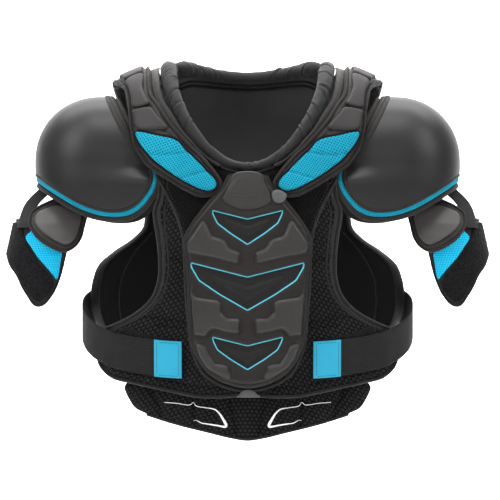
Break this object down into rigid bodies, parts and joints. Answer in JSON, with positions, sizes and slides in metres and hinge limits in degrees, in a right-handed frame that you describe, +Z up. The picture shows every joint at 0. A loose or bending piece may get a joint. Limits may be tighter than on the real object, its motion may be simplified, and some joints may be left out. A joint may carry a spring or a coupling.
{
  "type": "hockey shoulder pads",
  "caption": "Padded shoulder and chest protector with shoulder caps, arm guards, sternum plate, clavicle pads, belly pad and side straps.",
  "frame": {"origin": "between the wearer's shoulders on the mid plane, level with the outer ends of the shoulder lines, at the wearer_shoulders mount", "axes": "+X towards the wearer's left arm, +Y towards the wearer's back, +Z up; the wearer faces -Y"},
  "size_m": [0.6234, 0.2636, 0.4833],
  "materials": {
    "spacer_mesh": "black hexagonal spacer mesh",
    "edge_binding": "folded woven binding",
    "moulded_foam": "satin moulded foam",
    "collar_lining": "brushed black lining",
    "webbing": "ribbed webbing",
    "elastic_strap": "ribbed elastic webbing",
    "brushed_loop": "brushed loop fabric",
    "strap_tab": "pale blue moulded tab",
    "rubber_tab": "grey soft rubber",
    "soft_cover": "charcoal synthetic leather",
    "badge": "matt moulded badge",
    "blue_print": "printed blue line",
    "moulded_segment": "grey grained cover",
    "blue_mesh": "bright blue mesh",
    "cap_shell": "satin moulded plastic",
    "arm_plate": "satin moulded plastic",
    "moulded_loop": "black acetal",
    "arm_wrap": "black lining over foam",
    "reflective": "white reflective print"
  },
  "bodies": {
    "torso": {"back_panel": "spacer_mesh", "back_binding": "edge_binding", "spine_guard": "moulded_foam", "rear_arch_pad_right": "moulded_foam", "rear_arch_pad_left": "moulded_foam", "collar_back": "collar_lining", "cap_tether_right": "webbing", "cap_tether_left": "webbing", "strap_anchor_right": "webbing", "strap_anchor_left": "webbing"},
    "kidney": {"kidney_pad": "spacer_mesh"},
    "front": {"front_panel_right": "spacer_mesh", "front_panel_left": "spacer_mesh", "front_binding": "edge_binding", "collar_front": "collar_lining", "strap_patch_right": "brushed_loop", "strap_patch_left": "brushed_loop", "belly_tab": "rubber_tab"},
    "sternum": {"sternum_pad": "soft_cover", "sternum_plate": "moulded_foam", "sternum_inlays": "blue_print", "sternum_badge": "badge", "sternum_tab": "rubber_tab"},
    "belly": {"belly_pad": "spacer_mesh", "belly_piping": "reflective"},
    "clavicle_right": {"clavicle_pad_right": "soft_cover", "clavicle_segments_right": "moulded_segment", "clavicle_insert_right": "blue_mesh", "clavicle_binding_right": "edge_binding"},
    "cap_right": {"cap_shell_right": "cap_shell", "cap_liner_right": "collar_lining", "cap_trim_right": "blue_mesh", "cap_binding_right": "edge_binding"},
    "bicep_right": {"bicep_wrap_right": "arm_wrap", "bicep_insert_right": "blue_mesh", "bicep_strap_right": "brushed_loop", "bicep_hanger_right": "webbing", "hanger_loop_right": "moulded_loop"},
    "guard_right": {"bicep_guard_right": "soft_cover", "bicep_plate_right": "arm_plate"},
    "side_strap_right": {"side_strap_right": "elastic_strap", "strap_tab_right": "strap_tab"},
    "clavicle_left": {"clavicle_pad_left": "soft_cover", "clavicle_segments_left": "moulded_segment", "clavicle_insert_left": "blue_mesh", "clavicle_binding_left": "edge_binding"},
    "cap_left": {"cap_shell_left": "cap_shell", "cap_liner_left": "collar_lining", "cap_trim_left": "blue_mesh", "cap_binding_left": "edge_binding"},
    "bicep_left": {"bicep_wrap_left": "arm_wrap", "bicep_insert_left": "blue_mesh", "bicep_strap_left": "brushed_loop", "bicep_hanger_left": "webbing", "hanger_loop_left": "moulded_loop"},
    "guard_left": {"bicep_guard_left": "soft_cover", "bicep_plate_left": "arm_plate"},
    "side_strap_left": {"side_strap_left": "elastic_strap", "strap_tab_left": "strap_tab"}
  },
  "joints": [
    {"name": "front_open", "type": "hinge", "parent": "torso", "child": "front", "pos_m": [0, 0, 0.026], "axis": [-1, 0, 0], "range_deg": [0, 18]},
    {"name": "sternum_lift", "type": "hinge", "parent": "front", "child": "sternum", "pos_m": [0, -0.1126, -0.1222], "axis": [-1, 0, 0], "range_deg": [0, 12], "stiffness_Nm_per_rad": 0.4},
    {"name": "belly_fold", "type": "hinge", "parent": "front", "child": "belly", "pos_m": [0, -0.0909, -0.4032], "axis": [-1, 0, 0], "range_deg": [0, 60], "stiffness_Nm_per_rad": 0.6},
    {"name": "kidney_fold", "type": "hinge", "parent": "torso", "child": "kidney", "pos_m": [0, 0.116, -0.361], "axis": [1, 0, 0], "range_deg": [0, 60], "stiffness_Nm_per_rad": 0.6},
    {"name": "side_strap_right_open", "type": "hinge", "parent": "torso", "child": "side_strap_right", "pos_m": [-0.188, 0.0585, -0.303], "axis": [0, 0, -1], "range_deg": [0, 81]},
    {"name": "clavicle_right_lift", "type": "hinge", "parent": "front", "child": "clavicle_right", "pos_m": [-0.1535, 0, 0.012], "axis": [-0.924, 0, -0.3824], "range_deg": [0, 40], "stiffness_Nm_per_rad": 0.3},
    {"name": "cap_right_lift", "type": "hinge", "parent": "torso", "child": "cap_right", "pos_m": [-0.167, 0, -0.014], "axis": [0, 1, 0], "range_deg": [0, 60]},
    {"name": "bicep_right_swing", "type": "hinge", "parent": "cap_right", "child": "bicep_right", "pos_m": [-0.2675, 0, -0.148], "axis": [0, 1, 0], "range_deg": [-10, 30], "stiffness_Nm_per_rad": 0.3},
    {"name": "guard_right_lift", "type": "hinge", "parent": "bicep_right", "child": "guard_right", "pos_m": [-0.2402, -0.0393, -0.17], "axis": [-0.9903, -0.1387, 0], "range_deg": [0, 30], "stiffness_Nm_per_rad": 0.1},
    {"name": "side_strap_left_open", "type": "hinge", "parent": "torso", "child": "side_strap_left", "pos_m": [0.188, 0.0585, -0.303], "axis": [0, 0, 1], "range_deg": [0, 81]},
    {"name": "clavicle_left_lift", "type": "hinge", "parent": "front", "child": "clavicle_left", "pos_m": [0.1535, 0, 0.012], "axis": [-0.924, 0, 0.3824], "range_deg": [0, 40], "stiffness_Nm_per_rad": 0.3},
    {"name": "cap_left_lift", "type": "hinge", "parent": "torso", "child": "cap_left", "pos_m": [0.167, 0, -0.014], "axis": [0, -1, 0], "range_deg": [0, 60]},
    {"name": "bicep_left_swing", "type": "hinge", "parent": "cap_left", "child": "bicep_left", "pos_m": [0.2675, 0, -0.148], "axis": [0, -1, 0], "range_deg": [-10, 30], "stiffness_Nm_per_rad": 0.3},
    {"name": "guard_left_lift", "type": "hinge", "parent": "bicep_left", "child": "guard_left", "pos_m": [0.2402, -0.0393, -0.17], "axis": [-0.9903, 0.1387, 0], "range_deg": [0, 30], "stiffness_Nm_per_rad": 0.1}
  ],
  "couplings": [
    {"joint": "side_strap_right_open", "follows": "front_open", "ratio": 4.5},
    {"joint": "side_strap_left_open", "follows": "front_open", "ratio": 4.5}
  ]
}
